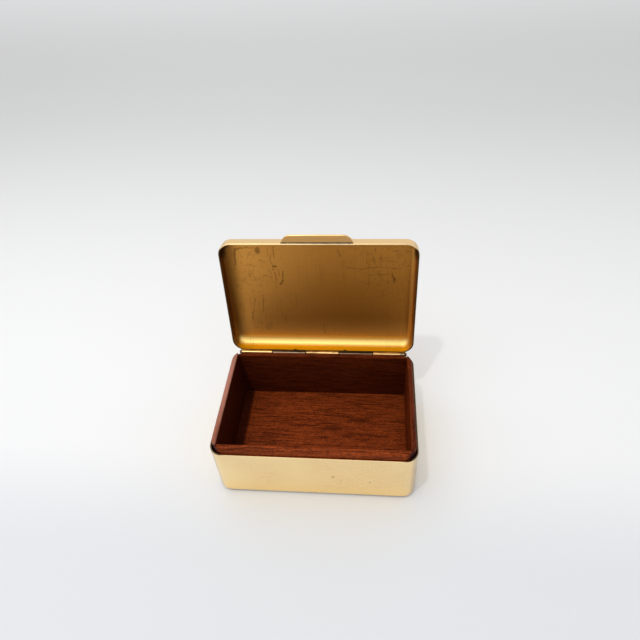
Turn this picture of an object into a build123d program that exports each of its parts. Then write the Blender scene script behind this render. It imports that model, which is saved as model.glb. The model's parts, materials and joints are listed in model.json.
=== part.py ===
from build123d import *
import math
import os

# A brass desk box: two drawn shells, a hardwood lining that stands proud of the base, and a lid
# on a five-knuckle hinge whose two bearers meet as a stop. All lengths are millimetres.
# X runs along the hinge, Y from front to back and Z up. The origin is the centre of the underside.
# Every piece of the lid is drawn where it lies when the box is shut, and carried open with the lid.

# Brass shells
box_width = 170.0
box_depth = 113.0
base_height = 57.0
lid_depth = 13.0
wall = 1.2
corner_radius = 11.0
edge_radius = 5.0
lid_cove = 6.5
rim_bevel = 0.25
seam_gap = 0.3
open_angle = 98.8

# Hardwood lining
board = 4.5
floor_board = 5.5
lining_gap = 0.5
joint_gap = 0.1
lining_corner_radius = 12.0
lining_proud = 6.7
lining_back_proud = 3.5
lining_round = 2.5
arris = 0.3

# Hinge
knuckle_count = 5
barrel_inset = 6.0
knuckle_radius = 1.5
knuckle_gap = 0.25
running_gap = 0.2
axis_drop = 0.5
pin_radius = 0.8
pin_clearance = 0.05
pin_proud = 0.4
pin_bevel = 0.3
bearer_inset = 1.0
bearer_depth = 3.6
bearer_height = 2.5
bearer_face = 0.9
bearer_round = 0.6
stop_gap = 0.1

# Thumb lift
lift_root = 62.0
lift_tip = 54.0
lift_reach = 7.4
lift_thickness = 2.4
lift_rise = 1.0
lift_corner = 9.0
lift_round = 1.1

# Places that follow from the sizes above
inner_edge_radius = edge_radius - wall
lid_rim = base_height + seam_gap
floor_top = wall + floor_board
lining_width = box_width - 2 * (wall + lining_gap)
lining_depth = box_depth - 2 * (wall + lining_gap)
lining_top = base_height + lining_proud
lining_back_top = base_height + lining_back_proud
side_board_length = lining_depth - 2 * (board + joint_gap)
axis_stand = knuckle_radius + running_gap
axis_y = box_depth / 2 + axis_stand
axis_z = base_height - axis_drop
barrel_length = box_width - 2 * barrel_inset
bearer_length = barrel_length - 2 * bearer_inset
knuckle_length = (barrel_length - (knuckle_count - 1) * knuckle_gap) / knuckle_count

hinge_turn = Location((0, axis_y, axis_z)) * Location((0, 0, 0), (-open_angle, 0, 0))
shut_to_open = hinge_turn * Location((0, -axis_y, -axis_z))


def on_lid(plane):
    """The plane of the shut box, carried to where the open lid holds it."""
    return Plane(shut_to_open * plane.location)


lid_frame = on_lid(Plane.XY)
lid_up = Axis(lid_frame.origin, lid_frame.z_dir)
lid_back = Axis(lid_frame.origin, lid_frame.y_dir)


def finish(part, name):
    """Labels a piece and writes it under its own name."""
    part.label = name
    export_step(part, f"parts/{name}.step")


os.makedirs("parts", exist_ok=True)

# Base shell: a deep tray with a rounded bottom edge and a rim with its edges taken off
with BuildPart() as base_shell:
    with BuildSketch():
        RectangleRounded(box_width, box_depth, corner_radius)
    extrude(amount=base_height)
    fillet(base_shell.faces().sort_by(Axis.Z)[0].edges(), edge_radius)
    offset(amount=-wall, openings=base_shell.faces().sort_by(Axis.Z)[-1])
    chamfer(base_shell.faces().sort_by(Axis.Z)[-1].edges(), rim_bevel)
finish(base_shell.part, "base_shell")

# Lid shell: a shallow tray of the same plan, rim down when shut, with a wide cove inside
with BuildPart() as lid_hollow:
    with BuildSketch(on_lid(Plane.XY.offset(lid_rim))):
        RectangleRounded(box_width - 2 * wall, box_depth - 2 * wall, corner_radius - wall)
    extrude(amount=lid_depth - wall)
    fillet(lid_hollow.faces().sort_by(lid_up)[-1].edges(), lid_cove)
with BuildPart() as lid_shell:
    with BuildSketch(on_lid(Plane.XY.offset(lid_rim))):
        RectangleRounded(box_width, box_depth, corner_radius)
    extrude(amount=lid_depth)
    fillet(lid_shell.faces().sort_by(lid_up)[-1].edges(), edge_radius)
    add(lid_hollow.part, mode=Mode.SUBTRACT)
    chamfer(lid_shell.faces().sort_by(lid_up)[0].edges(), rim_bevel)
finish(lid_shell.part, "lid_shell")

# Floor board: lies on the brass, its lower edge bevelled to clear the shell's inner radius
with BuildPart() as lining_floor:
    with BuildSketch(Plane.XY.offset(wall)):
        RectangleRounded(lining_width, lining_depth, lining_corner_radius)
    extrude(amount=floor_board)
    chamfer(lining_floor.faces().sort_by(Axis.Z)[0].edges(), inner_edge_radius)
finish(lining_floor.part, "lining_floor")


def lining_block(top):
    """The outside of the lining as it is rounded off, from the floor board to a height."""
    with BuildPart() as block:
        with BuildSketch(Plane.XY.offset(floor_top)):
            RectangleRounded(lining_width, lining_depth, lining_corner_radius)
        extrude(amount=top - floor_top)
        fillet(block.faces().sort_by(Axis.Z)[-1].edges(), lining_round)
    return block.part


def lining_wall(length_x, length_y, centre_x, centre_y, top):
    """One board of the lining, cut from the rounded block, its inner top edge eased."""
    with BuildPart() as wall_board:
        add(lining_block(top))
        with BuildSketch(Plane.XY.offset(floor_top)):
            with Locations((centre_x, centre_y)):
                Rectangle(length_x, length_y)
        extrude(amount=top - floor_top, mode=Mode.INTERSECT)
        inward = Axis((0, 0, 0), (-centre_x, -centre_y, 0))
        inner_face = wall_board.faces().filter_by(inward).sort_by(inward)[-1]
        chamfer(inner_face.edges().sort_by(Axis.Z)[-1], arris)
    return wall_board.part


# Lining walls: front and back boards run the full width, the side boards stand between them
board_x = (lining_width - board) / 2
board_y = (lining_depth - board) / 2
finish(lining_wall(lining_width, board, 0, -board_y, lining_top), "lining_front")
finish(lining_wall(lining_width, board, 0, board_y, lining_back_top), "lining_back")
finish(lining_wall(board, side_board_length, -board_x, 0, lining_top), "lining_left")
finish(lining_wall(board, side_board_length, board_x, 0, lining_top), "lining_right")

# Knuckles: tubes along the back, the lid's and the base's in turn, starting and ending on the lid
knuckle_pitch = knuckle_length + knuckle_gap
knuckle_starts = [i * knuckle_pitch - barrel_length / 2 for i in range(knuckle_count)]
lid_starts = knuckle_starts[0::2]
base_starts = knuckle_starts[1::2]


def hinge_plane(x):
    """The plane across the hinge at x, with its origin on the hinge axis."""
    return Plane(origin=(x, axis_y, axis_z), x_dir=(0, 1, 0), z_dir=(1, 0, 0))


def knuckle(start, bore_radius):
    """One tube of the hinge barrel, its ends cut square."""
    with BuildPart() as tube:
        with BuildSketch(hinge_plane(start)):
            Circle(knuckle_radius)
            Circle(bore_radius, mode=Mode.SUBTRACT)
        extrude(amount=knuckle_length)
    return tube.part


# The pin is fast in the two end knuckles and the three between turn freely on it
running_bore = pin_radius + pin_clearance
for name, start in zip(("lid_knuckle_left", "lid_knuckle_centre", "lid_knuckle_right"), lid_starts):
    finish(knuckle(start, running_bore if name == "lid_knuckle_centre" else pin_radius), name)
for name, start in zip(("base_knuckle_left", "base_knuckle_right"), base_starts):
    finish(knuckle(start, running_bore), name)

# Hinge pin: one rod through the barrel with bevelled ends that show at both sides
with BuildPart() as hinge_pin:
    with BuildSketch(hinge_plane(-barrel_length / 2 - pin_proud)):
        Circle(pin_radius)
    extrude(amount=barrel_length + 2 * pin_proud)
    chamfer(hinge_pin.edges().filter_by(GeomType.CIRCLE), pin_bevel)
finish(hinge_pin.part, "hinge_pin")


def bearer(side, seats, hollows):
    """A strip on a back wall, side 1 for the lid and -1 for the base.

    It holds its own knuckles in close seats, clears the others in wider hollows, and its slanted
    face meets the other strip's when the lid has opened by the full angle.
    """
    half_angle = math.radians(open_angle / 2)
    back = bearer_depth - axis_stand
    slant_lift = stop_gap / 2 / math.cos(half_angle)
    slant_start = (bearer_face - slant_lift) / math.tan(half_angle)
    slant_end = back * math.tan(half_angle) + slant_lift
    front = -axis_stand - corner_radius
    top = bearer_face + bearer_height
    outline = [
        (front, side * bearer_face),
        (slant_start, side * bearer_face),
        (back, side * slant_end),
        (back, side * top),
        (front, side * top),
    ]
    with BuildPart() as strip:
        with BuildSketch(hinge_plane(-bearer_length / 2)):
            with BuildLine():
                Polyline(*outline, close=True)
            make_face()
        extrude(amount=bearer_length)
        with BuildSketch():
            RectangleRounded(box_width, box_depth, corner_radius)
        extrude(amount=lid_rim + lid_depth, mode=Mode.SUBTRACT)
        far_edge = strip.edges().filter_by(Axis.X).sort_by(Axis.Y)[-2:].sort_by(Axis.Z)
        fillet(far_edge[-1] if side > 0 else far_edge[0], bearer_round)
        for starts, radius, spare in ((seats, knuckle_radius, 0), (hollows, axis_stand, knuckle_gap)):
            for start in starts:
                with BuildSketch(hinge_plane(start - spare)):
                    Circle(radius)
                extrude(amount=knuckle_length + 2 * spare, mode=Mode.SUBTRACT)
    return strip.part


finish(bearer(-1, base_starts, lid_starts), "base_bearer")
finish(shut_to_open * bearer(1, lid_starts, base_starts), "lid_bearer")

# Thumb lift: a flat tab with slanted, rounded ends, soldered to the lid's front wall above its rim
with BuildPart() as thumb_lift:
    with BuildSketch(on_lid(Plane.XY.offset(lid_rim + lift_rise))):
        with BuildLine():
            Polyline(
                (-lift_root / 2, -box_depth / 2),
                (lift_root / 2, -box_depth / 2),
                (lift_tip / 2, -box_depth / 2 - lift_reach),
                (-lift_tip / 2, -box_depth / 2 - lift_reach),
                close=True,
            )
        make_face()
    extrude(amount=lift_thickness)
    tip = thumb_lift.faces().sort_by(lid_back)[0]
    fillet(tip.edges().filter_by(lid_up), lift_corner)
    root = thumb_lift.faces().sort_by(lid_back)[-1]
    flats = thumb_lift.faces().filter_by(lid_up)
    fillet(flats.edges() - root.edges(), lift_round)
finish(thumb_lift.part, "thumb_lift")
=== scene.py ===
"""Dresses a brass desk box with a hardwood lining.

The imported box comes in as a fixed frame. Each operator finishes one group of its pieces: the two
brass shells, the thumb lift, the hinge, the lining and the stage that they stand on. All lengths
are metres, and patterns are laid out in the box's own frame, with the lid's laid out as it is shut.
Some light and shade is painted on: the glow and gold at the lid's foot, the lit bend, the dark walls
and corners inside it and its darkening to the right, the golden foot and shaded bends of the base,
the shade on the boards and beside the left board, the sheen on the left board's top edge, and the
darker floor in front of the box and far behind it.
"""

import json
import math

import bpy
from bpy.props import FloatProperty, FloatVectorProperty, IntProperty, PointerProperty
from mathutils import Matrix, Vector


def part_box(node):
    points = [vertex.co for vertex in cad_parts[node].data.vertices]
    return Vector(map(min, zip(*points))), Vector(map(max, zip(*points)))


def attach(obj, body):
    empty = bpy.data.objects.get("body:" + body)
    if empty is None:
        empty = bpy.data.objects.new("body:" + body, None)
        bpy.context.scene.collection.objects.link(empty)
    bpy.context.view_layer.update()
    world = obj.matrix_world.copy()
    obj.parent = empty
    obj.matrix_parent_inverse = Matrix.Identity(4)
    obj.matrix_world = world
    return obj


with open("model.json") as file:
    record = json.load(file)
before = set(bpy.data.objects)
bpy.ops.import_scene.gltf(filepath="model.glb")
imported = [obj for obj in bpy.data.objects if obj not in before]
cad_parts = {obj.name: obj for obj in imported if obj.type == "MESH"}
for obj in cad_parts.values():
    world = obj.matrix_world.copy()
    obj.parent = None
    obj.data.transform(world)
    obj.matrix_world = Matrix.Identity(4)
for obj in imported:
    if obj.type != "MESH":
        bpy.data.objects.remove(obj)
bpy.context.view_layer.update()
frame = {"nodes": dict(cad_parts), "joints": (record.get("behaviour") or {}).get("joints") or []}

bl_info = {
    "name": "Brass Desk Box",
    "version": (1, 0, 0),
    "blender": (4, 5, 0),
    "location": "3D View > Sidebar > Brass Box",
    "description": "Finishes a lined brass box and sets it on a pale stage",
    "category": "Object",
}

MM = 0.001
IN_MM = (1000.0, 1000.0, 1000.0)

# The shells' sheet, the corners of their plan and the edge of their closed end
WALL = 1.2 * MM
CORNER = 11.0 * MM
EDGE = 5.0 * MM

# Patterns, in steps to the metre along X, Y and Z
POLISHING = (60.0, 60.0, 240.0)
SCUFFS = (900.0, 160.0, 60.0)
BRUSHING = (1000.0, 20.0, 60.0)
CROSS_BRUSHING = (45.0, 1000.0, 60.0)
LIFT_CLOUD = (60.0, 300.0, 60.0)
DRAWN_LINES = (60.0, 2400.0, 2400.0)
RUB_MARKS = (1500.0, 80.0, 80.0)
GRAIN_DRIFT = (9.0, 24.0, 24.0)
GRAIN_FIGURE = (14.0, 100.0, 100.0)
GRAIN_STREAKS = (40.0, 560.0, 560.0)
GRAIN_FIBRES = (560.0, 1500.0, 1500.0)
GRAIN_PORES = (150.0, 900.0, 900.0)
END_RINGS = (900.0, 1100.0, 700.0)

# Painted shade beside the left board: its reach on the floor board, and on the back board its
# reach for each metre down from the top
SHADE_REACH = 8.6 * MM
SHADE_SLOPE = 0.15

FLOOR_DROP = 0.15 * MM
LAMP_AIM = Vector((0.0, 0.0, 0.05))
LAMP_TINT = (1.0, 0.995, 0.985)
SENSOR_WIDTH = 36.0


# Places read from the frame


def shutting():
    """Carries what rides on the lid from where it rests, open, to where it shuts."""
    hinge = frame["joints"][0]
    axis = Vector(hinge["pos_m"])
    turn = Matrix.Rotation(math.radians(hinge["range_deg"][1]), 4, Vector(hinge["axis"]))
    return Matrix.Translation(axis) @ turn @ Matrix.Translation(-axis)


def shut_box(node):
    """Lowest and highest corner of a node of the lid when the box is shut."""
    carry = shutting()
    corners = [carry @ vertex.co for vertex in frame["nodes"][node].data.vertices]
    return (
        Vector(min(corner[i] for corner in corners) for i in range(3)),
        Vector(max(corner[i] for corner in corners) for i in range(3)),
    )


base_low, base_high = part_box("base_shell")
lid_low, lid_high = shut_box("lid_shell")
lift_low, lift_high = shut_box("thumb_lift")
HALF_PLAN = (base_high.x, base_high.y)


# What a user would change


def colour(name, description, default):
    """A colour setting."""
    return FloatVectorProperty(
        name=name, description=description, default=default, subtype="COLOR", size=3, min=0.0, max=1.0
    )


def share(name, description, default):
    """A setting from nought to one."""
    return FloatProperty(
        name=name, description=description, default=default, subtype="FACTOR", min=0.0, max=1.0
    )


def length(name, description, default):
    """A size in metres."""
    return FloatProperty(
        name=name, description=description, default=default, min=0.0, subtype="DISTANCE", unit="LENGTH"
    )


def amount(name, description, default):
    """A number that isn't negative, with its unit in the description."""
    return FloatProperty(name=name, description=description, default=default, min=0.0)


def spot(name, description, default):
    """A place in metres."""
    return FloatVectorProperty(
        name=name, description=description, default=default, subtype="TRANSLATION"
    )


def angle(name, description, degrees):
    """An angle, given in degrees."""
    return FloatProperty(
        name=name, description=description, default=math.radians(degrees), subtype="ANGLE"
    )


class BrassSettings(bpy.types.PropertyGroup):
    """Colours and polish of the brass pieces."""

    polished: colour("Polished brass", "Clean brass on the outside of both shells", (1.0, 0.77, 0.405))
    polished_deep: colour("Deeper polish", "Where the polish is older and more golden", (0.90, 0.66, 0.34))
    # Painted shade: the colour of the base's darkened bends
    shaded: colour("Shaded bends", "Brass in the bends of the base, painted darker as shade", (0.40, 0.34, 0.27))
    # Painted reflection: the golden colour low on the base
    foot: colour("Golden foot", "Painted golden reflection low on the base", (1.0, 0.735, 0.335))
    golden: colour("Golden polish", "Clean brass on the outside of the lid", (0.89, 0.585, 0.27))
    polished_roughness: share("Polish roughness", "How soft the outside's reflections are", 0.24)
    rim_roughness: share("Rim roughness", "How soft the reflections in the base's rim are", 0.16)
    # Aged is the inside's own colour, also laid on as painted light in the glow and the lit bend
    aged_and_lit: colour("Aged brass", "Unpolished brass inside the lid", (0.685, 0.327, 0.068))
    # Tarnish, and also painted shade: darker towards the right and below the top inside the lid
    tarnish_and_shade: colour("Tarnish", "Darker patches inside the lid", (0.37, 0.150, 0.022))
    # Painted shade on the walls and bends inside the lid
    painted_lid_shade: colour("Dark corners", "Painted shade on the walls and bends inside the lid", (0.17, 0.068, 0.010))
    # Painted reflections: the gold of the lid's back wall and of its cove
    painted_wall_gold: colour("Gold wall", "Painted reflection on the lid's back wall, inside", (0.72, 0.41, 0.0))
    painted_cove_gold: colour("Gold cove", "Painted highlight in the hollow between back wall and panel", (0.95, 0.67, 0.215))
    aged_roughness: share("Aged roughness", "How soft the reflections inside the lid are", 0.50)
    patchiness: share("Patchiness", "How much the inside of the lid darkens in patches", 0.22)
    brushing: share("Brushing", "How dark the brush lines inside the lid are", 0.15)
    speckling: share("Speckling", "How dark the fine tarnish high inside the lid is", 0.24)
    scratches: share("Scratches", "How dark the single marks inside the lid are", 0.95)
    glow: share("Glow", "How far the inside of the lid brightens towards its cove", 0.85)
    corner_shade: share("Corner shade", "How dark the upper corners inside the lid are", 0.88)
    # Stains also paint the shade in the upper corners inside the lid
    stain_and_shade: colour("Stains", "Marks and scratches filled with dirt", (0.040, 0.019, 0.007))
    lift_under: colour("Lift underside", "Unpolished underside of the thumb lift", (0.56, 0.32, 0.12))
    knuckle: colour("Knuckles", "Worn hinge tube on the lid", (0.95, 0.62, 0.255))
    pale_knuckle: colour("Pale knuckles", "Worn hinge tube on the base", (0.86, 0.60, 0.40))
    dull_knuckle: colour("Dull knuckle", "The duller hinge tube on the base", (0.56, 0.37, 0.245))
    greyed: colour("Grey end", "Worn grey stretch at the right end of the hinge", (0.20, 0.17, 0.14))
    bearer: colour("Bearers", "Drawn strip behind the hinge", (0.66, 0.45, 0.19))
    pin: colour("Hinge pin", "Drawn rod through the knuckles", (0.62, 0.47, 0.27))
    solder: colour("Solder", "Dull seams where brass is soldered to brass", (0.075, 0.068, 0.045))
    solder_pale: colour("Pale solder", "Cleaner patches of the solder", (0.19, 0.17, 0.13))
    solder_green: colour("Green solder", "Green patches of the solder", (0.055, 0.085, 0.050))
    seam_radius: length("Seam radius", "Half the thickness of a solder seam", 0.68 * MM)
    seam_unevenness: share("Seam unevenness", "How far a seam's thickness varies", 0.4)
    seam_steps: IntProperty(name="Seam steps", description="Rings along a seam", default=90, min=8)
    seam_sides: IntProperty(name="Seam sides", description="Sides of a seam", default=10, min=3)


class LiningSettings(bpy.types.PropertyGroup):
    """Colours and gloss of the hardwood lining."""

    light: colour("Light grain", "Palest streaks of the wood", (0.390, 0.069, 0.013))
    middle: colour("Grain", "Main colour of the wood", (0.185, 0.031, 0.005))
    dark: colour("Dark grain", "Darkest streaks and pores", (0.032, 0.005, 0.002))
    end: colour("End grain", "Where the fibres are cut across", (0.040, 0.013, 0.015))
    roughness: share("Roughness", "How soft the sheen on the wood is", 0.36)
    # Painted sheen along the left board's top edge
    painted_sheen: colour("Painted edge sheen", "Where a pale sheen is painted along a top edge", (0.46, 0.20, 0.145))
    waviness: length("Waviness", "How far the grain wanders from straight", 1.2 * MM)
    fibres: share("Fibres", "How dark the fine fibres are", 0.62)
    pores: share("Pores", "How dark the pores are", 0.45)


class StageSettings(bpy.types.PropertyGroup):
    """Floor, light and camera."""

    floor: colour("Floor", "Colour of the plain floor", (0.89, 0.895, 0.905))
    # Painted shade: the floor is darker and a little bluer in front of the box, and darker far behind it
    floor_near: colour("Near floor", "Colour of the floor in front of the box", (0.76, 0.779, 0.808))
    floor_away: colour("Far floor", "Colour of the floor further back", (0.68, 0.685, 0.69))
    floor_cloud: colour("Floor clouds", "Colour of the floor's faint clouds", (0.8, 0.8, 0.8))
    floor_size: length("Floor size", "Length of each side of the floor", 9.0)
    ambient: share("Ambient", "Even light from all around", 0.78)
    backdrop: share("Backdrop", "Pale background as metal and the camera see it", 0.86)
    overhead: share("Overhead", "Tent overhead and in front, as metal sees it", 0.80)
    window: share("Window", "How much brighter the tent is high in front, as metal sees it", 0.44)
    lamp_power: amount("Lamp power", "Power of the soft lamp in watts", 3.2)
    lamp_width: length("Lamp width", "Width of the soft lamp", 1.3)
    lamp_depth: length("Lamp depth", "Depth of the soft lamp", 0.9)
    lamp_place: spot("Lamp place", "Centre of the soft lamp", (-0.38, 0.10, 1.15))
    key_power: amount("Key power", "Power of the small lamp in watts", 5.0)
    key_size: length("Key size", "Side of the small lamp, which throws the crisp shadows", 0.07)
    key_place: spot("Key place", "Centre of the small lamp", (-0.36, -0.48, 2.0))
    camera_place: spot("Camera place", "Where the camera stands", (0.04695, -0.29115, 0.43659))
    camera_yaw: angle("Camera yaw", "Turn to the right", -7.594)
    camera_pitch: angle("Camera pitch", "Tilt downwards", 43.679)
    camera_roll: angle("Camera roll", "Lean of the camera", -4.501)
    camera_lens: amount("Lens", "Focal length in millimetres", 30.727)


class BoxSettings(bpy.types.PropertyGroup):
    """Everything that can be changed on the box."""

    brass: PointerProperty(type=BrassSettings)
    lining: PointerProperty(type=LiningSettings)
    stage: PointerProperty(type=StageSettings)


# Node trees


class Graph:
    """Fills a node tree, one node at a time."""

    def __init__(self, tree):
        self.tree = tree
        tree.nodes.clear()

    def node(self, kind, sockets=None, **settings):
        made = self.tree.nodes.new(kind)
        for name, value in settings.items():
            setattr(made, name, value)
        for key, value in (sockets or {}).items():
            self.feed(made.inputs[key], value)
        count = len(self.tree.nodes)
        made.location = (200 * (count % 12), -240 * (count // 12))
        return made

    def feed(self, socket, value):
        if isinstance(value, bpy.types.NodeSocket):
            self.tree.links.new(value, socket)
        elif socket.type == "RGBA" and len(value) == 3:
            socket.default_value = (*value, 1.0)
        else:
            socket.default_value = value

    def math(self, operation, first, second=0.0, clamp=False):
        sockets = {0: first, 1: second}
        return self.node("ShaderNodeMath", sockets, operation=operation, use_clamp=clamp).outputs[0]

    def plus(self, first, second):
        return self.math("ADD", first, second)

    def minus(self, first, second):
        return self.math("SUBTRACT", first, second)

    def times(self, first, second):
        return self.math("MULTIPLY", first, second)

    def most(self, first, second):
        return self.math("MAXIMUM", first, second)

    def vector(self, operation, first, second=(0.0, 0.0, 0.0)):
        made = self.node("ShaderNodeVectorMath", {0: first, 1: second}, operation=operation)
        return made.outputs["Value" if operation in ("DOT_PRODUCT", "LENGTH") else "Vector"]

    def combine(self, x, y, z):
        return self.node("ShaderNodeCombineXYZ", {0: x, 1: y, 2: z}).outputs[0]

    def separate(self, vector):
        return self.node("ShaderNodeSeparateXYZ", {0: vector}).outputs

    def ramp(self, value, low, high, bottom=0.0, top=1.0):
        """Eases from bottom to top as value goes from low to high."""
        sockets = {"Value": value, "From Min": low, "From Max": high, "To Min": bottom, "To Max": top}
        return self.node("ShaderNodeMapRange", sockets, interpolation_type="SMOOTHSTEP").outputs[0]

    def ramp_mm(self, value, low, high, bottom=0.0, top=1.0):
        """The same for a length, with low and high in millimetres."""
        return self.ramp(value, low * MM, high * MM, bottom, top)

    def blend(self, factor, first, second):
        sockets = {0: factor, 6: first, 7: second}
        return self.node("ShaderNodeMix", sockets, data_type="RGBA").outputs[2]

    def lay(self, mask, strength, under, over):
        """Lays over on under where the mask is, as thickly as strength."""
        return self.blend(self.times(mask, strength), under, over)

    def noise(self, vector, scale=1.0, detail=3.0, roughness=0.55, distortion=0.0):
        sockets = {"Vector": vector, "Scale": scale, "Detail": detail}
        sockets |= {"Roughness": roughness, "Distortion": distortion}
        return self.node("ShaderNodeTexNoise", sockets).outputs[0]

    def pattern(self, vector, steps, detail, roughness=0.55):
        """Noise with its own number of steps to the metre along each axis."""
        return self.noise(self.vector("MULTIPLY", vector, steps), 1.0, detail, roughness)

    def wander(self, vector, noise, reach):
        """A place moved about by coloured noise, at most by half of reach along each axis."""
        drift = self.node("ShaderNodeTexNoise", noise).outputs["Color"]
        drift = self.vector("SUBTRACT", drift, (0.5, 0.5, 0.5))
        return self.vector("ADD", vector, self.vector("MULTIPLY", drift, reach))

    def bump(self, height, distance, strength):
        sockets = {"Height": height, "Distance": distance, "Strength": strength}
        return self.node("ShaderNodeBump", sockets).outputs[0]

    def group(self, tree, sockets):
        made = self.node("ShaderNodeGroup", node_tree=tree)
        for key, value in sockets.items():
            self.feed(made.inputs[key], value)
        return made.outputs[0]


def new_group(name, kind, inputs, output, output_kind):
    """An empty node group with those inputs, given by name and kind, and one output."""
    tree = bpy.data.node_groups.new(name, kind)
    for label, socket in inputs.items():
        tree.interface.new_socket(label, in_out="INPUT", socket_type=f"NodeSocket{socket}")
    tree.interface.new_socket(output, in_out="OUTPUT", socket_type=f"NodeSocket{output_kind}")
    graph = Graph(tree)
    return tree, graph, graph.node("NodeGroupInput").outputs, graph.node("NodeGroupOutput").inputs[0]


def rounded(graph, across, along, radius):
    """How far a point is outside a corner of that radius, from its two distances past the centre."""
    reach = graph.combine(graph.most(across, 0.0), graph.most(along, 0.0), 0.0)
    within = graph.math("MINIMUM", graph.most(across, along), 0.0)
    return graph.minus(graph.plus(graph.vector("LENGTH", reach), within), radius)


def tray_depth_group():
    """How deep a point lies under a tray's outside, from its place above the tray's closed end."""
    inputs = {"Place": "Vector"}
    tree, graph, given, out = new_group("tray depth", "ShaderNodeTree", inputs, "Depth", "Float")
    x, y, z = graph.separate(graph.vector("ABSOLUTE", given["Place"]))
    past_x = graph.minus(x, HALF_PLAN[0] - CORNER)
    past_y = graph.minus(y, HALF_PLAN[1] - CORNER)
    outside_plan = rounded(graph, past_x, past_y, CORNER)
    past_wall = graph.plus(outside_plan, EDGE)
    past_end = graph.minus(EDGE, z)
    graph.feed(out, graph.times(rounded(graph, past_wall, past_end, EDGE), -1.0))
    return tree


def tray_depth(graph, place):
    """How deep a point lies under a tray's outside."""
    tree = bpy.data.node_groups.get("tray depth") or tray_depth_group()
    return graph.group(tree, {"Place": place})


def stroke_group():
    """One where a point lies on a stroke from start to end, fading to nought beyond its width."""
    inputs = {"Place": "Vector", "Start": "Vector", "End": "Vector", "Width": "Float", "Strength": "Float"}
    tree, graph, given, out = new_group("stroke", "ShaderNodeTree", inputs, "Mark", "Float")
    offset = graph.vector("SUBTRACT", given["Place"], given["Start"])
    span = graph.vector("SUBTRACT", given["End"], given["Start"])
    done = graph.vector("DOT_PRODUCT", offset, span)
    along = graph.math("DIVIDE", done, graph.vector("DOT_PRODUCT", span, span), clamp=True)
    scaled = graph.node("ShaderNodeVectorMath", {0: span, "Scale": along}, operation="SCALE").outputs[0]
    distance = graph.vector("LENGTH", graph.vector("SUBTRACT", offset, scaled))
    fade = graph.ramp(graph.math("DIVIDE", distance, given["Width"]), 0.25, 1.0, 1.0, 0.0)
    graph.feed(out, graph.times(fade, given["Strength"]))
    return tree


def stroke(graph, place, start, end, width, strength):
    """A mark from start to end, given in the units of place."""
    tree = bpy.data.node_groups.get("stroke") or stroke_group()
    sockets = {"Place": place, "Start": start, "End": end, "Width": width, "Strength": strength}
    return graph.group(tree, sockets)


def new_material(name):
    """A material with an empty Principled shader, its graph and that shader."""
    material = bpy.data.materials.new(name)
    material.use_nodes = True
    graph = Graph(material.node_tree)
    shader = graph.node("ShaderNodeBsdfPrincipled")
    output = graph.node("ShaderNodeOutputMaterial")
    graph.tree.links.new(shader.outputs[0], output.inputs["Surface"])
    return material, graph, shader


def feed_metal(graph, shader, tint, rough, relief, height=0.05 * MM, strength=0.6, metallic=1.0):
    """Feeds a metal's colour, roughness and relief to its shader."""
    graph.feed(shader.inputs["Base Color"], tint)
    graph.feed(shader.inputs["Metallic"], metallic)
    graph.feed(shader.inputs["Roughness"], rough)
    graph.feed(shader.inputs["Normal"], graph.bump(relief, height, strength))


def object_place(graph):
    return graph.node("ShaderNodeTexCoord").outputs["Object"]


def object_normal(graph):
    return graph.node("ShaderNodeTexCoord").outputs["Normal"]


def shut_place(graph):
    """A point of the open lid, as a place in the shut lid with height counted down from its top."""
    carry = shutting()
    sockets = {"Vector": object_place(graph), "Location": carry.translation, "Rotation": carry.to_euler()}
    shut = graph.node("ShaderNodeMapping", sockets, vector_type="POINT").outputs[0]
    flipped = graph.vector("MULTIPLY", shut, (1.0, 1.0, -1.0))
    return graph.vector("ADD", flipped, (0.0, 0.0, lid_high.z))


# Brass


def specks(graph, place, step, radius, seed):
    """Sparse pinpoint pits, about one cell of step apart."""
    moved = graph.vector("ADD", place, (seed, seed * 0.7, -seed))
    cells = graph.node("ShaderNodeTexVoronoi", {"Vector": moved, "Scale": 1.0 / step}).outputs["Distance"]
    return graph.ramp(cells, 0.35 * radius / step, radius / step, 1.0, 0.0)


def polish(graph, place, settings):
    """Colour, roughness and relief of the clean brass outside."""
    cloud = graph.ramp(graph.noise(place, 16.0, 2.0, 0.45, 0.2), 0.30, 0.75)
    fine = graph.pattern(place, POLISHING, 5.0, 0.65)
    tint = graph.lay(cloud, 0.7, settings.polished, settings.polished_deep)
    tint = graph.lay(graph.ramp(fine, 0.35, 0.75), 0.22, tint, settings.polished_deep)
    pits = specks(graph, place, 9.0 * MM, 0.42 * MM, 0.31)
    freckles = specks(graph, place, 3.2 * MM, 0.20 * MM, 0.77)
    tint = graph.lay(graph.most(pits, graph.times(freckles, 0.35)), 0.75, tint, settings.stain_and_shade)
    rough = graph.plus(graph.times(cloud, 0.07), graph.times(fine, 0.08))
    rough = graph.plus(rough, settings.polished_roughness - 0.06)
    wave = graph.noise(place, 48.0, 2.0, 0.5)
    relief = graph.minus(graph.times(wave, 0.3), graph.times(pits, 0.6))
    return tint, rough, graph.plus(relief, graph.times(fine, 0.05))


# Dirt on the front of the base, in millimetres: x, height, half width, strength
FRONT_DIRT = (
    (16.2, 30.5, 1.0, 0.85),
    (46.7, 24.2, 0.8, 0.60),
    (24.9, 13.9, 0.7, 0.40),
    (-31.0, 36.5, 0.5, 0.30),
    (-58.5, 22.0, 0.6, 0.25),
    (63.0, 12.5, 0.5, 0.35),
)


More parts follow.
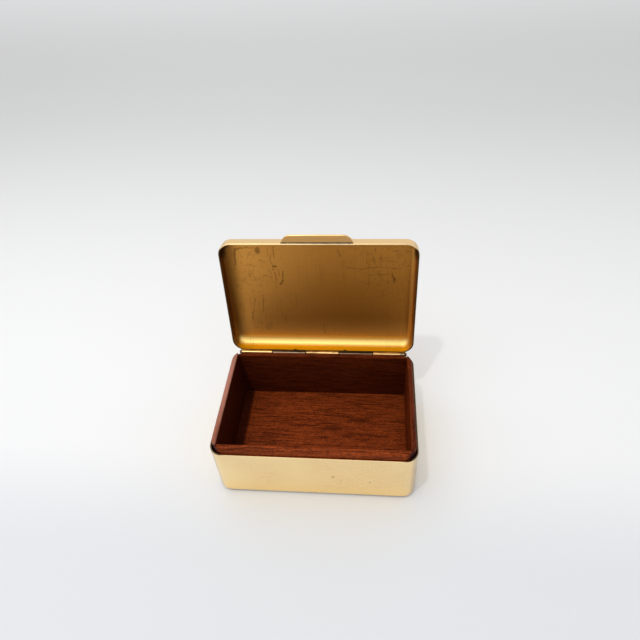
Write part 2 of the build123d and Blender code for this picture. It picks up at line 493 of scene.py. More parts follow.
def base_shell_material(settings):
    """Clean brass outside, with a painted golden reflection low down, painted shade in the bends, and a
    rim that is dark but in front.
    """
    material, graph, shader = new_material("Base brass")
    place = object_place(graph)
    depth = tray_depth(graph, place)
    tint, rough, relief = polish(graph, place, settings)
    front = base_low.y / MM
    scaled = graph.vector("MULTIPLY", place, IN_MM)
    for x, z, width, strength in FRONT_DIRT:
        ends = (x - 0.5, front, z - 0.1), (x + 0.5, front, z + 0.1)
        tint = graph.blend(stroke(graph, scaled, *ends, width, strength), tint, settings.stain_and_shade)

    x, y, height = graph.separate(place)
    inside = graph.ramp(depth, 0.5 * WALL, 0.95 * WALL)
    rim = graph.ramp(height, base_high.z - 0.5 * MM, base_high.z - 0.1 * MM)
    # The rim is darkened along the sides and back, but not along the front between the bends
    between_bends = graph.ramp_mm(graph.math("ABSOLUTE", x), 70.0, 78.0, 1.0, 0.0)
    pale_stretch = graph.times(between_bends, graph.ramp_mm(y, 0.0, -50.0))
    dark_rim = graph.times(rim, graph.minus(1.0, pale_stretch))
    sideways = graph.math("ABSOLUTE", graph.separate(object_normal(graph))[0])
    bend = graph.times(graph.ramp(sideways, 0.42, 0.85), graph.ramp(sideways, 0.9995, 0.985))

    # Painted reflection: the base is more golden low down
    tint = graph.lay(graph.ramp_mm(height, 2.0, 24.0, 1.0, 0.0), 0.85, tint, settings.foot)
    scuffs = graph.ramp(graph.pattern(place, SCUFFS, 4.0), 0.5, 0.7)
    under = graph.times(graph.ramp_mm(height, 0.0, 0.6, 1.0, 0.0), scuffs)
    tint = graph.lay(under, 0.45, tint, settings.aged_and_lit)
    tint = graph.blend(graph.times(inside, graph.minus(1.0, rim)), tint, settings.aged_and_lit)
    tint = graph.lay(dark_rim, 0.9, tint, settings.stain_and_shade)
    # Painted shade: the bends at the sides and the low bend along the floor are darkened
    tint = graph.lay(bend, 0.65, tint, settings.shaded)
    tint = graph.blend(graph.ramp_mm(height, 1.3, 2.6, 0.7, 0.0), tint, settings.shaded)
    rough = graph.blend(rim, rough, [settings.rim_roughness] * 3)
    feed_metal(graph, shader, tint, rough, relief)
    return material


# Strokes of dirt and scratches inside the lid, in millimetres of the shut lid's plan:
# start x and y, end x and y, half width, strength
LID_STROKES = (
    (-73.8, -45.1, -67.4, -46.6, 1.3, 0.55),
    (-67.4, -46.6, -57.4, -46.6, 1.2, 0.40),
    (-73.5, -44.3, -74.8, -29.9, 1.1, 0.60),
    (-53.6, -45.5, -53.3, -42.6, 3.4, 0.70),
    (-39.1, -47.4, -39.4, -36.8, 0.8, 0.50),
    (-42.8, -38.5, -42.4, -31.5, 0.8, 0.45),
    (-41.4, -28.9, -38.4, -28.6, 1.5, 0.85),
    (-41.6, -26.4, -40.6, -25.4, 1.2, 0.60),
    (-39.8, -22.2, -39.3, -14.1, 0.9, 0.55),
    (-36.3, -24.4, -36.1, -17.8, 0.8, 0.40),
    (-32.9, -23.7, -33.0, -16.5, 1.0, 0.60),
    (-33.4, -14.0, -35.6, -10.0, 1.5, 0.80),
    (-50.9, -19.8, -43.3, -17.6, 0.8, 0.35),
    (-61.1, 6.0, -63.6, 20.0, 0.8, 0.45),
    (-63.6, 20.0, -66.7, 27.0, 0.8, 0.50),
    (-52.8, 2.7, -54.6, 19.9, 0.8, 0.50),
    (-65.2, 20.0, -64.8, 29.7, 0.8, 0.55),
    (-50.7, 35.5, -51.2, 38.0, 5.0, 0.40),
    (-64.0, 39.1, -62.5, 39.2, 1.6, 0.35),
    (48.5, -46.3, 48.7, -43.4, 0.7, 0.55),
    (64.2, -44.1, 68.4, -43.8, 0.8, 0.55),
    (24.0, -27.2, 38.7, -26.5, 0.7, 0.40),
    (38.7, -26.5, 51.9, -28.4, 0.8, 0.50),
    (51.9, -28.4, 67.1, -26.6, 0.7, 0.40),
    (44.0, -20.0, 52.0, -20.8, 0.8, 0.40),
    (52.0, -20.8, 61.3, -20.5, 0.8, 0.45),
    (47.1, -38.6, 49.2, -28.1, 0.8, 0.35),
    (54.4, -38.6, 53.8, -32.7, 0.8, 0.30),
    (63.6, -22.8, 64.0, -19.0, 0.9, 0.75),
    (64.0, -19.0, 66.0, -16.7, 1.1, 0.85),
    (66.0, -16.7, 65.5, -13.5, 1.2, 0.85),
    (55.7, -34.2, 67.4, -33.4, 0.7, 0.30),
    (15.8, -44.4, 18.9, -38.5, 1.4, 0.30),
    (1.5, 33.0, 2.5, 43.8, 1.5, 0.30),
)


# Dark nicks in the lid's rear rim, in millimetres: where each starts and ends along X
LID_NICKS = ((-26.3, -24.5), (20.8, 22.6))


def lid_strokes(graph, place):
    """The lid's own marks, their lines made a little uneven."""
    flat = graph.vector("MULTIPLY", place, (1000.0, 1000.0, 0.0))
    swayed = graph.wander(flat, {"Vector": flat, "Scale": 0.22, "Detail": 3.0}, (3.0, 3.0, 0.0))
    marks = 0.0
    for x0, y0, x1, y1, width, strength in LID_STROKES:
        mark = stroke(graph, swayed, (x0, y0, 0.0), (x1, y1, 0.0), width, 0.8 * strength)
        marks = graph.most(marks, mark)
    broken = graph.ramp(graph.noise(flat, 0.9, 4.0, 0.7), 0.26, 0.54)
    return graph.times(marks, broken)


def lid_inside(graph, place, x, y, height, settings):
    """Colour of the unpolished brass inside the lid, with its brushing and its marks, and painted light
    and shade: a glow and gold towards the cove, a lit bend, dark walls and corners, and darkening to the
    right.
    """
    cloud = graph.noise(place, 34.0, 5.0, 0.62, 0.5)
    patches = graph.ramp(cloud, 0.42, 0.70)
    brushed = graph.pattern(place, BRUSHING, 4.0, 0.65)
    crossed = graph.ramp(graph.pattern(place, CROSS_BRUSHING, 4.0, 0.65), 0.52, 0.72)
    crossed = graph.times(crossed, graph.ramp_mm(y, 20.0, -20.0))

    to_back = graph.minus(HALF_PLAN[1], y)
    to_front = graph.plus(HALF_PLAN[1], y)
    to_left = graph.plus(HALF_PLAN[0], x)
    to_right = graph.minus(HALF_PLAN[0], x)
    sides = graph.ramp_mm(graph.math("ABSOLUTE", graph.plus(x, 4.0 * MM)), 18.0, 50.0)
    upper = graph.times(graph.ramp_mm(y, 34.0, -24.0), sides)
    speckles = graph.times(graph.ramp(graph.noise(place, 330.0, 3.0, 0.6), 0.50, 0.68), upper)
    left_wall = graph.ramp_mm(to_left, 3.0, 17.0, 0.90, 0.0)
    side_walls = graph.most(left_wall, graph.ramp_mm(to_right, 1.0, 4.5, 0.12, 0.0))
    walls = graph.most(side_walls, graph.ramp_mm(to_front, 2.0, 6.0, 0.35, 0.0))

    to_side = graph.math("MINIMUM", to_left, to_right)
    across = graph.most(graph.minus(CORNER, to_side), 0.0)
    along = graph.most(graph.minus(CORNER, to_front), 0.0)
    reach = graph.plus(graph.times(across, across), graph.times(along, along))
    to_edge = graph.minus(CORNER, graph.math("SQRT", reach))
    corners = graph.times(graph.ramp_mm(to_edge, 4.6, 2.6), graph.ramp_mm(to_front, 22.0, 12.0))
    corners = graph.times(corners, graph.ramp_mm(to_side, 14.0, 7.0))
    lit_bend = graph.times(graph.ramp_mm(to_right, 1.3, 2.9), graph.ramp_mm(to_right, 6.0, 4.2))
    rightwards = graph.ramp_mm(x, -85.0, 25.0, 0.0, 0.75)
    downwards = graph.ramp_mm(y, -50.0, 0.0, 0.0, 0.25)
    glow = graph.ramp_mm(to_back, 5.0, 34.0, 1.0, 0.0)

    # Painted shade: darker towards the right and below the top, in the tarnish colour
    tint = graph.blend(graph.plus(rightwards, downwards), settings.aged_and_lit, settings.tarnish_and_shade)
    tint = graph.lay(patches, settings.patchiness, tint, settings.tarnish_and_shade)
    tint = graph.lay(glow, settings.glow, tint, settings.aged_and_lit)
    tint = graph.blend(graph.ramp(brushed, 0.48, 0.78, 0.0, settings.brushing), tint, settings.stain_and_shade)
    tint = graph.lay(crossed, settings.brushing, tint, settings.stain_and_shade)
    tint = graph.lay(speckles, settings.speckling, tint, settings.stain_and_shade)
    # Painted shade: the walls inside the lid are darkened, the left one most
    tint = graph.blend(walls, tint, settings.painted_lid_shade)
    tint = graph.lay(lit_bend, 0.9, tint, settings.aged_and_lit)
    # Painted reflection: gold in the cove and on the back wall, a faint gold above the cove, fading out
    # beside the side walls
    painted_reflection = graph.blend(graph.ramp_mm(height, 4.5, 8.0), settings.painted_cove_gold, settings.painted_wall_gold)
    tint = graph.blend(graph.ramp_mm(to_back, 9.0, 30.0, 0.12, 0.0), tint, settings.painted_cove_gold)
    behind = graph.ramp_mm(to_back, 4.5, 11.0, 1.0, 0.0)
    tint = graph.blend(graph.times(behind, graph.ramp_mm(to_side, 3.0, 7.0)), tint, painted_reflection)
    # Painted shade: the upper corners are darkened in the stain colour
    tint = graph.lay(corners, settings.corner_shade, tint, settings.stain_and_shade)
    # Painted shade: darker beside the side walls towards the back
    foot = graph.times(graph.ramp_mm(to_side, 5.0, 2.0), graph.ramp_mm(to_back, 26.0, 12.0))
    tint = graph.lay(foot, 0.6, tint, settings.painted_lid_shade)
    strokes = lid_strokes(graph, place)
    tint = graph.lay(strokes, settings.scratches, tint, settings.stain_and_shade)
    worked = graph.times(graph.ramp(brushed, 0.60, 0.70), graph.ramp(cloud, 0.50, 0.60))
    tint = graph.lay(worked, 0.60, tint, settings.stain_and_shade)
    pits = specks(graph, place, 6.0 * MM, 0.45 * MM, 0.12)
    return graph.lay(pits, 0.5, tint, settings.stain_and_shade), brushed, strokes


def lid_shell_material(settings):
    """Clean brass outside, unpolished inside, and a rim that is dark but in front."""
    material, graph, shader = new_material("Lid brass")
    place = shut_place(graph)
    x, y, height = graph.separate(place)
    depth = tray_depth(graph, place)
    clean, clean_rough, clean_relief = polish(graph, place, settings)
    clean = graph.blend(0.65, clean, settings.golden)
    aged_and_lit, brushed, strokes = lid_inside(graph, place, x, y, height, settings)

    inside = graph.ramp(depth, 0.45 * WALL, 0.9 * WALL)
    lid_height = lid_high.z - lid_low.z
    rim = graph.ramp(height, lid_height - 0.45 * MM, lid_height - 0.1 * MM)
    front = graph.ramp_mm(y, -54.0, -50.0, 1.0, 0.0)
    dark_rim = graph.times(rim, graph.minus(1.0, front))
    bright_rim = graph.times(rim, front)
    inside = graph.times(inside, graph.minus(1.0, bright_rim))
    clean = graph.lay(bright_rim, 0.6, clean, settings.polished_deep)
    clean_rough = graph.plus(clean_rough, graph.times(bright_rim, 0.16))
    tint = graph.blend(inside, clean, aged_and_lit)
    tint = graph.lay(dark_rim, 0.93, tint, settings.stain_and_shade)
    scaled = graph.vector("MULTIPLY", place, IN_MM)
    for x0, x1 in LID_NICKS:
        nick = stroke(graph, scaled, (x0, 55.3, 12.4), (x1, 55.3, 12.7), 1.2, 0.95)
        tint = graph.blend(nick, tint, settings.stain_and_shade)
    aged_rough = graph.plus(settings.aged_roughness - 0.05, graph.times(brushed, 0.10))
    aged_rough = graph.plus(aged_rough, graph.times(strokes, 0.25))
    rough = graph.blend(inside, clean_rough, aged_rough)
    relief = graph.blend(inside, clean_relief, graph.times(brushed, 0.4))
    feed_metal(graph, shader, tint, rough, relief)
    return material


def thumb_lift_material(settings):
    """Polished where a thumb rubs it, unpolished underneath."""
    material, graph, shader = new_material("Lift brass")
    place = shut_place(graph)
    tint, rough, relief = polish(graph, place, settings)
    height = graph.separate(place)[2]
    underside = lid_high.z - lift_low.z
    under = graph.ramp(height, underside - 0.8 * MM, underside - 0.1 * MM)
    cloud = graph.ramp(graph.pattern(place, LIFT_CLOUD, 4.0, 0.6), 0.35, 0.75, 0.0, 0.6)
    dull = graph.blend(cloud, settings.lift_under, settings.aged_and_lit)
    tint = graph.blend(under, tint, dull)
    rough = graph.plus(rough, graph.times(under, 0.08))
    feed_metal(graph, shader, tint, rough, relief)
    return material


def drawn_material(name, tint, dirt, roughness, settings, joints=None, clean=0.0):
    """Drawn brass of the hinge: fine lines along it, dirt in patches and a few rub marks.

    Joints gives the first joint between tubes and the step to the next, where dirt gathers. The top of
    a tube is also darkened, above the height over its axis given as clean.
    """
    material, graph, shader = new_material(name)
    place = object_place(graph)
    lines = graph.pattern(place, DRAWN_LINES, 3.0, 0.6)
    cloud = graph.noise(place, 130.0, 4.0, 0.6, 0.4)
    turned = graph.pattern(place, RUB_MARKS, 3.0, 0.6)
    grime = graph.ramp(cloud, 0.50, 0.78)
    shaded = graph.blend(graph.ramp(lines, 0.35, 0.75, 0.0, 0.25), tint, dirt)
    shaded = graph.lay(grime, 0.5, shaded, dirt)
    shaded = graph.lay(graph.ramp(turned, 0.55, 0.7), 0.25, shaded, tint)
    if joints:
        first, step = joints
        x, _, z = graph.separate(place)
        count = graph.math("DIVIDE", graph.minus(x, first - step / 2), step)
        past = graph.math("ABSOLUTE", graph.minus(graph.math("FRACT", count), 0.5))
        ends = graph.ramp(past, 0.35 * MM / step, 0.95 * MM / step, 0.95, 0.0)
        tips = graph.ramp_mm(graph.math("ABSOLUTE", x), 76.6, 77.8, 0.0, 0.96)
        ends = graph.most(ends, tips)
        axis = Vector(frame["joints"][0]["pos_m"])
        over = graph.ramp_mm(graph.minus(z, axis.z + clean), -0.2, 0.15, 0.0, 0.96)
        right_end = graph.ramp_mm(x, 72.0, 74.0)
        greyed = graph.times(right_end, graph.ramp(turned, 0.35, 0.6, 0.45, 0.9))
        shaded = graph.blend(greyed, shaded, settings.greyed)
        shaded = graph.blend(graph.most(ends, over), shaded, dirt)
    rough = graph.plus(roughness, graph.times(graph.plus(grime, lines), 0.12))
    feed_metal(graph, shader, shaded, rough, graph.plus(lines, cloud), 0.02 * MM, 0.5)
    return material


def solder_material(settings):
    """Dull grey solder, dark with dirt and a little green where it meets the brass."""
    material, graph, shader = new_material("Old solder")
    place = object_place(graph)
    cloud = graph.noise(place, 420.0, 4.0, 0.65)
    green = graph.noise(place, 160.0, 3.0, 0.6)
    tint = graph.blend(graph.ramp(cloud, 0.35, 0.7), settings.solder, settings.solder_pale)
    tint = graph.blend(graph.ramp(green, 0.55, 0.75, 0.0, 0.6), tint, settings.solder_green)
    rough = graph.ramp(cloud, 0.3, 0.7, 0.45, 0.75)
    feed_metal(graph, shader, tint, rough, cloud, 0.08 * MM, 0.7, 0.35)
    return material


# Solder seams


def seam_tree():
    """A geometry tree for a bead of solder, a little uneven and tapered at both ends."""
    inputs = {"Start": "Vector", "End": "Vector", "Radius": "Float", "Unevenness": "Float"}
    inputs |= {"Steps": "Int", "Sides": "Int", "Material": "Material"}
    tree, graph, given, out = new_group("solder seam", "GeometryNodeTree", inputs, "Seam", "Geometry")
    line = graph.node("GeometryNodeCurvePrimitiveLine", {"Start": given["Start"], "End": given["End"]})
    steps = graph.node("GeometryNodeResampleCurve", {"Curve": line.outputs[0], "Count": given["Steps"]})
    along = graph.node("GeometryNodeSplineParameter").outputs["Factor"]
    place = graph.node("GeometryNodeInputPosition").outputs[0]
    lumps = graph.noise(place, 260.0, 2.0, 0.5)
    centred = graph.times(graph.minus(lumps, 0.5), given["Unevenness"])
    from_middle = graph.math("ABSOLUTE", graph.minus(graph.times(along, 2.0), 1.0))
    taper = graph.ramp(from_middle, 0.94, 1.0, 1.0, 0.25)
    thickness = graph.times(graph.times(graph.plus(centred, 1.0), taper), given["Radius"])
    sized = graph.node("GeometryNodeSetCurveRadius", {"Curve": steps.outputs[0], "Radius": thickness})
    ring = graph.node("GeometryNodeCurvePrimitiveCircle", {"Resolution": given["Sides"], "Radius": 1.0})
    sockets = {"Curve": sized.outputs[0], "Profile Curve": ring.outputs[0], "Fill Caps": True}
    sockets["Scale"] = graph.node("GeometryNodeInputRadius").outputs[0]
    bead = graph.node("GeometryNodeCurveToMesh", sockets)
    smooth = graph.node("GeometryNodeSetShadeSmooth", {"Geometry": bead.outputs[0], "Shade Smooth": True})
    real = graph.node("GeometryNodeRealizeInstances", {"Geometry": smooth.outputs[0]})
    sockets = {"Geometry": real.outputs[0], "Material": given["Material"]}
    dressed = graph.node("GeometryNodeSetMaterial", sockets)
    graph.feed(out, dressed.outputs[0])
    return tree


def grown(name, tree, values):
    """A plain mesh object made by a geometry tree with those named inputs."""
    shape = bpy.data.objects.new(name, bpy.data.meshes.new(name))
    bpy.context.scene.collection.objects.link(shape)
    modifier = shape.modifiers.new("growth", "NODES")
    modifier.node_group = tree
    for socket in tree.interface.items_tree:
        if socket.in_out == "INPUT" and socket.name in values:
            modifier[socket.identifier] = values[socket.name]
    graph = bpy.context.evaluated_depsgraph_get()
    mesh = bpy.data.meshes.new_from_object(shape.evaluated_get(graph), depsgraph=graph)
    shape.modifiers.remove(modifier)
    shape.data = mesh
    mesh.name = name
    return shape


def seam(name, start, end, body, slot, settings, radius):
    """A solder seam from start to end that rides on a body."""
    values = {
        "Start": tuple(start),
        "End": tuple(end),
        "Radius": radius,
        "Unevenness": settings.seam_unevenness,
        "Steps": settings.seam_steps,
        "Sides": settings.seam_sides,
        "Material": bpy.data.materials["Old solder"],
    }
    bead = grown(name, bpy.data.node_groups["solder seam"], values)
    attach(bead, body)


# Hardwood


def wood_grain(graph, place, settings):
    """Colour of the wood, with the streaks, fibres and pores that make it up."""
    figure = graph.pattern(place, GRAIN_FIGURE, 3.0, 0.6)
    streaks = graph.pattern(place, GRAIN_STREAKS, 3.0, 0.8)
    fibres = graph.pattern(place, GRAIN_FIBRES, 2.0, 0.7)
    pores = graph.ramp(graph.pattern(place, GRAIN_PORES, 1.0, 0.5), 0.60, 0.68)
    tone = graph.plus(graph.times(figure, 0.22), graph.times(streaks, 0.78))
    light = graph.ramp(tone, 0.40, 0.62)
    deep = graph.ramp(tone, 0.48, 0.36)
    tint = graph.blend(light, settings.middle, settings.light)
    tint = graph.lay(deep, 0.55, tint, settings.dark)
    tint = graph.blend(graph.ramp(fibres, 0.36, 0.66, 0.0, settings.fibres), tint, settings.dark)
    return graph.lay(pores, settings.pores, tint, settings.dark), streaks, fibres, pores


def wood_material(board, turn, shift, shade, top_shade, painted_sheen, corner, settings):
    """Reddish hardwood with its grain along the board.

    Turn lays the grain's X along the board and shift picks the stretch of it. Shade and top shade
    are painted shade: how dark the board and its top edge are. Painted sheen is how strongly a pale
    sheen is painted along that edge.
    Corner is how dark the board is beside the left one. It stands for a deep shadow there.
    """
    material, graph, shader = new_material(f"{board} wood")
    sockets = {"Vector": object_place(graph), "Location": shift, "Rotation": (0.0, 0.0, turn)}
    place = graph.node("ShaderNodeMapping", sockets, vector_type="POINT").outputs[0]
    reach = settings.waviness * 2.0
    drift = {"Vector": graph.vector("MULTIPLY", place, GRAIN_DRIFT), "Scale": 1.0, "Detail": 2.0}
    place = graph.wander(place, drift, (0.0, reach, reach))
    tint, streaks, fibres, pores = wood_grain(graph, place, settings)

    along = graph.separate(object_normal(graph))[0 if turn == 0.0 else 1]
    cut = graph.ramp(graph.math("ABSOLUTE", along), 0.22, 0.70)
    rings = graph.ramp(graph.pattern(place, END_RINGS, 2.0, 0.6), 0.4, 0.7)
    tint = graph.blend(cut, tint, graph.blend(rings, settings.end, settings.dark))
    x, y, height = graph.separate(object_place(graph))
    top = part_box(board)[1].z
    edge = graph.ramp(height, top - 2.6 * MM, top - 0.9 * MM)
    tint = graph.blend(graph.ramp(edge, 0.0, 1.0, shade, top_shade), tint, settings.dark)
    if corner:
        past = graph.minus(x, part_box("lining_left")[1].x)
        upright = board != "lining_floor"
        reach = graph.times(graph.minus(top, height), SHADE_SLOPE) if upright else SHADE_REACH
        past = graph.minus(past, reach)
        tint = graph.blend(graph.ramp_mm(past, 1.8, -1.8, 0.0, corner), tint, settings.dark)
    # Painted sheen: a pale band along the top edge, following the streaks and stronger towards the back
    if painted_sheen:
        pale_stretch = graph.times(edge, painted_sheen)
        pale_stretch = graph.times(pale_stretch, graph.ramp(streaks, 0.25, 0.60, 0.65, 1.0))
        pale_stretch = graph.times(pale_stretch, graph.ramp_mm(y, -48.0, 5.0, 0.50, 1.0))
        tint = graph.blend(pale_stretch, tint, settings.painted_sheen)

    rough = graph.plus(settings.roughness - 0.06, graph.times(streaks, 0.16))
    rough = graph.plus(rough, graph.times(pores, 0.25))
    relief = graph.plus(graph.times(fibres, 0.25), graph.times(streaks, 0.5))
    relief = graph.minus(relief, pores)
    graph.feed(shader.inputs["Base Color"], tint)
    graph.feed(shader.inputs["Roughness"], rough)
    graph.feed(shader.inputs["Specular IOR Level"], 0.04)
    graph.feed(shader.inputs["Normal"], graph.bump(relief, 0.06 * MM, 0.55))
    return material


def dress(node, material):
    """Gives a node of the frame one material."""
    mesh = frame["nodes"][node].data
    mesh.materials.clear()
    mesh.materials.append(material)


# Operators


class BRASSBOX_OT_base_shell(bpy.types.Operator):
    """Finish the base shell in polished brass"""

    bl_idname = "brass_box.base_shell"
    bl_label = "Base Shell"

    def execute(self, context):
        dress("base_shell", base_shell_material(context.scene.brass_box.brass))
        return {"FINISHED"}


class BRASSBOX_OT_lid_shell(bpy.types.Operator):
    """Finish the lid, polished outside and aged inside"""

    bl_idname = "brass_box.lid_shell"
    bl_label = "Lid Shell"

    def execute(self, context):
        dress("lid_shell", lid_shell_material(context.scene.brass_box.brass))
        return {"FINISHED"}


class BRASSBOX_OT_solder(bpy.types.Operator):
    """Run solder along the thumb lift and the two bearers"""

    bl_idname = "brass_box.solder"
    bl_label = "Solder Seams"

    def execute(self, context):
        settings = context.scene.brass_box.brass
        solder_material(settings)
        seam_tree()
        thick = settings.seam_radius
        radius = 0.6 * thick
        reopen = shutting().inverted()
        front = lid_low.y
        half_root = lift_high.x - 0.3 * MM
        # The seam under the lift is real solder, made thick and dark to stand also for the shade in the gap
        # under the lift
        for name, height, size in (
            ("lift_seam_under", lift_low.z - 0.35 * thick, thick),
            ("lift_seam_upper", lift_high.z + 0.35 * radius, radius),
        ):
            ends = [reopen @ Vector((x, front - 0.35 * size, height)) for x in (-half_root, half_root)]
            seam(name, *ends, "lid", "lift_brass", settings, size)
        half_strip = base_high.x - CORNER
        back = base_high.y + 0.25 * radius
        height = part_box("base_bearer")[0].z - 0.3 * radius
        ends = [(x, back, height) for x in (-half_strip, half_strip)]
        seam("base_bearer_seam", *ends, "base", "bearer_brass", settings, radius)
        back = lid_high.y + 0.25 * radius
        height = shut_box("lid_bearer")[1].z + 0.3 * radius
        ends = [reopen @ Vector((x, back, height)) for x in (-half_strip, half_strip)]
        seam("lid_bearer_seam", *ends, "lid", "bearer_brass", settings, radius)
        return {"FINISHED"}


class BRASSBOX_OT_thumb_lift(bpy.types.Operator):
    """Finish the thumb lift"""

    bl_idname = "brass_box.thumb_lift"
    bl_label = "Thumb Lift"

    def execute(self, context):
        dress("thumb_lift", thumb_lift_material(context.scene.brass_box.brass))
        return {"FINISHED"}


class BRASSBOX_OT_hinge(bpy.types.Operator):
    """Finish the knuckles, bearers and pin"""

    bl_idname = "brass_box.hinge"
    bl_label = "Hinge"

    def execute(self, context):
        settings = context.scene.brass_box.brass
        left_low, left_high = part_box("lid_knuckle_left")
        next_low, next_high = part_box("base_knuckle_left")
        joints = ((left_high.x + next_low.x) / 2, next_low.x - left_low.x)
        on_lid = ("lid_knuckle_left", "lid_knuckle_centre", "lid_knuckle_right")
        # Name, colour, roughness, height above its axis from which a tube is darkened, nodes
        tubes = (
            ("Knuckle brass", settings.knuckle, 0.26, 1.6 * MM, on_lid),
            ("Pale knuckle brass", settings.pale_knuckle, 0.32, 1.22 * MM, ("base_knuckle_left",)),
            ("Dull knuckle brass", settings.dull_knuckle, 0.34, 1.22 * MM, ("base_knuckle_right",)),
        )
        for name, tint, roughness, clean, nodes in tubes:
            brass = drawn_material(name, tint, settings.stain_and_shade, roughness, settings, joints, clean)
            for node in nodes:
                dress(node, brass)
        brass = drawn_material("Bearer brass", settings.bearer, settings.tarnish_and_shade, 0.34, settings)
        dress("base_bearer", brass)
        dress("lid_bearer", brass)
        dress("hinge_pin", drawn_material("Pin brass", settings.pin, settings.stain_and_shade, 0.30, settings))
        return {"FINISHED"}


class BRASSBOX_OT_lining(bpy.types.Operator):
    """Finish the five boards of the lining, each with its own stretch of grain"""

    bl_idname = "brass_box.lining"
    bl_label = "Lining"

    def execute(self, context):
        settings = context.scene.brass_box.lining
        # Board, turn, shift, painted shade, painted top shade, painted sheen, painted corner shade
        boards = (
            ("lining_floor", 0.0, (0.13, 0.41, 0.02), 0.0, 0.0, 0.0, 0.85),
            ("lining_front", 0.0, (0.57, -0.22, 0.31), 0.0, 0.02, 0.0, 0.0),
            ("lining_back", 0.0, (-0.36, 0.63, 0.17), 0.72, 0.45, 0.0, 0.7),
            ("lining_left", math.pi / 2, (0.29, 0.08, -0.44), 0.92, 0.0, 0.9, 0.0),
            ("lining_right", math.pi / 2, (-0.71, 0.35, 0.52), 0.40, 0.58, 0.0, 0.0),
        )
        for board in boards:
            dress(board[0], wood_material(*board, settings))
        return {"FINISHED"}


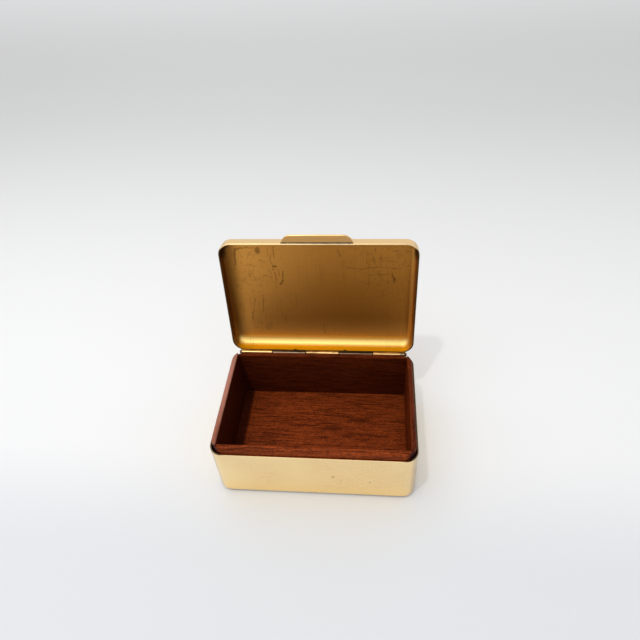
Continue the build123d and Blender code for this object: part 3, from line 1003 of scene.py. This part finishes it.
class BRASSBOX_OT_stage(bpy.types.Operator):
    """Lay the floor, light the box and stand the camera"""

    bl_idname = "brass_box.stage"
    bl_label = "Stage"

    def execute(self, context):
        settings = context.scene.brass_box.stage
        self.lay_floor(settings)
        self.light(context.scene, settings)
        self.stand_camera(context.scene, settings)
        return {"FINISHED"}

    def lay_floor(self, settings):
        half = settings.floor_size / 2
        level = base_low.z - FLOOR_DROP
        corners = [(x, y, level) for x, y in ((-half, -half), (half, -half), (half, half), (-half, half))]
        mesh = bpy.data.meshes.new("floor")
        mesh.from_pydata(corners, [], [(0, 1, 2, 3)])
        floor = bpy.data.objects.new("floor", mesh)
        bpy.context.scene.collection.objects.link(floor)
        material, graph, shader = new_material("Pale floor")
        cloud = graph.noise(object_place(graph), 7.0, 3.0, 0.5)
        clouds = graph.ramp(cloud, 0.3, 0.7, 0.0, 0.02)
        pale = graph.blend(clouds, settings.floor, settings.floor_cloud)
        y = graph.separate(object_place(graph))[1]
        # Painted shade: the floor is darker far behind the box, and darker and a little bluer in front of
        # it
        away = graph.times(graph.ramp(y, 0.05, 0.80), graph.ramp(y, 1.9, 0.9))
        pale = graph.blend(away, pale, settings.floor_away)
        near = graph.times(graph.ramp(y, 0.0, -0.12), graph.ramp(y, -0.65, -0.28))
        pale = graph.blend(near, pale, settings.floor_near)
        graph.feed(shader.inputs["Base Color"], pale)
        graph.feed(shader.inputs["Roughness"], 0.85)
        graph.feed(shader.inputs["Specular IOR Level"], 0.15)
        mesh.materials.append(material)

    def light(self, scene, settings):
        world = bpy.data.worlds.new("Pale studio")
        scene.world = world
        world.use_nodes = True
        graph = Graph(world.node_tree)
        output = graph.node("ShaderNodeOutputWorld")
        _, y, z = graph.separate(graph.node("ShaderNodeTexCoord").outputs["Generated"])
        low = graph.ramp(z, 0.62, 0.30)
        behind = graph.ramp(y, -0.45, 0.15)
        backdrop = graph.times(low, behind)
        level = graph.ramp(backdrop, 0.0, 1.0, settings.overhead, settings.backdrop)
        high = graph.times(graph.ramp(z, 0.40, 0.58), graph.ramp(z, 0.96, 0.86))
        window = graph.times(high, graph.ramp(y, -0.20, -0.50))
        level = graph.plus(level, graph.times(window, settings.window))
        path = graph.node("ShaderNodeLightPath").outputs
        mirrored = graph.most(path["Is Glossy Ray"], path["Is Transmission Ray"])
        strength = graph.blend(mirrored, [settings.ambient] * 3, level)
        strength = graph.blend(path["Is Camera Ray"], strength, [settings.backdrop] * 3)
        background = graph.node("ShaderNodeBackground", {"Color": strength, "Strength": 1.0})
        graph.tree.links.new(background.outputs[0], output.inputs["Surface"])

        sides = (settings.lamp_width, settings.lamp_depth)
        self.hang(scene, "soft lamp", settings.lamp_place, sides, settings.lamp_power)
        sides = (settings.key_size, settings.key_size)
        self.hang(scene, "small lamp", settings.key_place, sides, settings.key_power)
        scene.view_settings.view_transform = "Standard"

    def hang(self, scene, name, place, sides, power):
        """Hangs a lamp that looks at the box."""
        lamp = bpy.data.lights.new(name, "AREA")
        lamp.shape = "RECTANGLE"
        lamp.size, lamp.size_y = sides
        lamp.energy = power
        lamp.color = LAMP_TINT
        held = bpy.data.objects.new(name, lamp)
        scene.collection.objects.link(held)
        held.location = place
        held.rotation_euler = (LAMP_AIM - Vector(place)).to_track_quat("-Z", "Y").to_euler()
        held.visible_camera = False

    def stand_camera(self, scene, settings):
        yaw, pitch, roll = settings.camera_yaw, settings.camera_pitch, settings.camera_roll
        ahead = Vector((math.sin(yaw) * math.cos(pitch), math.cos(yaw) * math.cos(pitch), -math.sin(pitch)))
        right = ahead.cross(Vector((0.0, 0.0, 1.0))).normalized()
        up = right.cross(ahead)
        leaning_right = right * math.cos(roll) + up * math.sin(roll)
        leaning_up = up * math.cos(roll) - right * math.sin(roll)
        turned = Matrix((leaning_right, leaning_up, -ahead)).transposed().to_4x4()
        data = bpy.data.cameras.new("camera")
        data.lens = settings.camera_lens
        data.sensor_width = SENSOR_WIDTH
        data.sensor_fit = "HORIZONTAL"
        data.clip_start = 0.01
        camera = bpy.data.objects.new("camera", data)
        scene.collection.objects.link(camera)
        camera.matrix_world = Matrix.Translation(Vector(settings.camera_place)) @ turned
        scene.camera = camera


OPERATORS = (
    BRASSBOX_OT_base_shell,
    BRASSBOX_OT_lid_shell,
    BRASSBOX_OT_thumb_lift,
    BRASSBOX_OT_hinge,
    BRASSBOX_OT_solder,
    BRASSBOX_OT_lining,
    BRASSBOX_OT_stage,
)


class BRASSBOX_PT_sidebar(bpy.types.Panel):
    """Lists the steps that finish the box"""

    bl_idname = "BRASSBOX_PT_sidebar"
    bl_label = "Brass Box"
    bl_space_type = "VIEW_3D"
    bl_region_type = "UI"
    bl_category = "Brass Box"

    def draw(self, context):
        for operator in OPERATORS:
            self.layout.operator(operator.bl_idname)
        for name in ("brass", "lining", "stage"):
            group = getattr(context.scene.brass_box, name)
            box = self.layout.box()
            box.label(text=name.capitalize())
            for key in group.bl_rna.properties.keys():
                if key not in ("rna_type", "name"):
                    box.prop(group, key)


CLASSES = (BrassSettings, LiningSettings, StageSettings, BoxSettings, *OPERATORS, BRASSBOX_PT_sidebar)


def register():
    for cls in CLASSES:
        bpy.utils.register_class(cls)
    bpy.types.Scene.brass_box = PointerProperty(type=BoxSettings)


def unregister():
    del bpy.types.Scene.brass_box
    for cls in reversed(CLASSES):
        bpy.utils.unregister_class(cls)


def main():
    register()
    bpy.ops.brass_box.base_shell()
    bpy.ops.brass_box.lid_shell()
    bpy.ops.brass_box.thumb_lift()
    bpy.ops.brass_box.hinge()
    bpy.ops.brass_box.solder()
    bpy.ops.brass_box.lining()
    bpy.ops.brass_box.stage()


if __name__ == "__main__":
    main()
